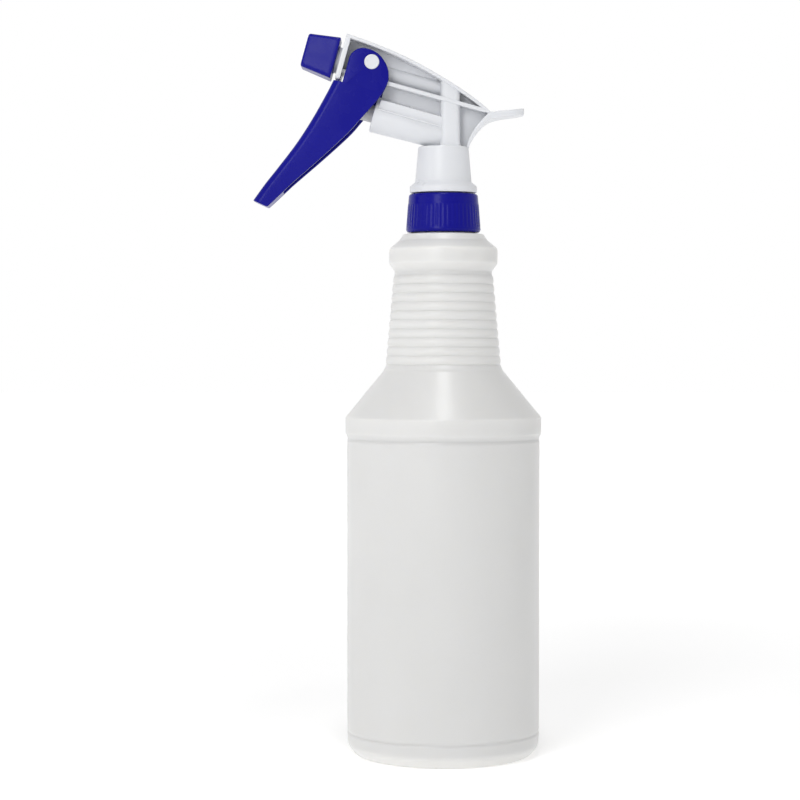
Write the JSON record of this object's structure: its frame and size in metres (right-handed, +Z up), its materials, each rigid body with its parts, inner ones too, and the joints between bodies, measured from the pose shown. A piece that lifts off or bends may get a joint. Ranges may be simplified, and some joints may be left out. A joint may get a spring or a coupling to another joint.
{
  "type": "trigger spray bottle",
  "caption": "Round milky quart bottle with ribbed neck, blue screw cap and a white trigger pump head with blue trigger and square nozzle.",
  "frame": {"origin": "centre of the bottle's foot, on the surface it stands on", "axes": "+Z up along the bottle's axis, nozzle and trigger towards -X, tail of the head towards +X"},
  "size_m": [0.1301, 0.0888, 0.3255],
  "materials": {
    "bottle": "milky natural polyethylene, softly glossy, slightly translucent",
    "blue": "deep blue polypropylene, glossy",
    "white": "white polypropylene, satin gloss, slightly translucent",
    "piston": "grey-white moulded plastic",
    "seal": "soft grey-white seal plastic",
    "tube": "natural polyethylene tube",
    "steel": "stainless steel"
  },
  "bodies": {
    "bottle": {"bottle": "bottle"},
    "head": {"sprayer_body": "white", "valve_housing": "white", "ball_cage": "seal", "dip_tube": "tube", "tube_strainer": "seal", "cap_gasket": "seal", "spinner": "white", "return_spring": "steel", "valve_spring": "steel"},
    "cap": {"screw_cap": "blue"},
    "trigger_lever": {"trigger": "blue"},
    "piston": {"pump_piston": "piston", "piston_cup": "seal", "piston_wiper": "seal"},
    "inlet_check": {"inlet_ball": "steel"},
    "outlet_check": {"outlet_valve": "seal"},
    "nozzle_cap": {"nozzle": "blue", "nozzle_seal": "seal"}
  },
  "joints": [
    {"name": "head_lift", "type": "slide", "parent": "bottle", "child": "head", "axis": [0, 0, 1], "range_m": [0, 0.26]},
    {"name": "cap_turn", "type": "hinge", "parent": "head", "child": "cap", "pos_m": [0, 0, 0.245], "axis": [0, 0, 1], "range_deg": [0, 540]},
    {"name": "trigger_pivot", "type": "hinge", "parent": "head", "child": "trigger_lever", "pos_m": [-0.03222, 0, 0.31231], "axis": [0, -1, 0], "range_deg": [0, 25], "stiffness_Nm_per_rad": 0.6, "springref_deg": -20.05},
    {"name": "piston_slide", "type": "slide", "parent": "head", "child": "piston", "axis": [0.9636, 0, -0.2672], "range_m": [0, 0.0095], "deforming": ["return_spring"]},
    {"name": "inlet_ball_lift", "type": "slide", "parent": "head", "child": "inlet_check", "axis": [0, 0, 1], "range_m": [0, 0.0015]},
    {"name": "outlet_slide", "type": "slide", "parent": "head", "child": "outlet_check", "axis": [-0.9636, 0, 0.2672], "range_m": [0, 0.0008], "stiffness_N_per_m": 100, "springref_m": -0.001, "deforming": ["valve_spring"]},
    {"name": "nozzle_turn", "type": "hinge", "parent": "head", "child": "nozzle_cap", "pos_m": [-0.05482, 0, 0.31613], "axis": [-0.9636, 0, 0.2672], "continuous": true}
  ],
  "couplings": [
    {"joint": "piston_slide", "follows": "trigger_pivot", "m_per_rad": 0.02145}
  ]
}
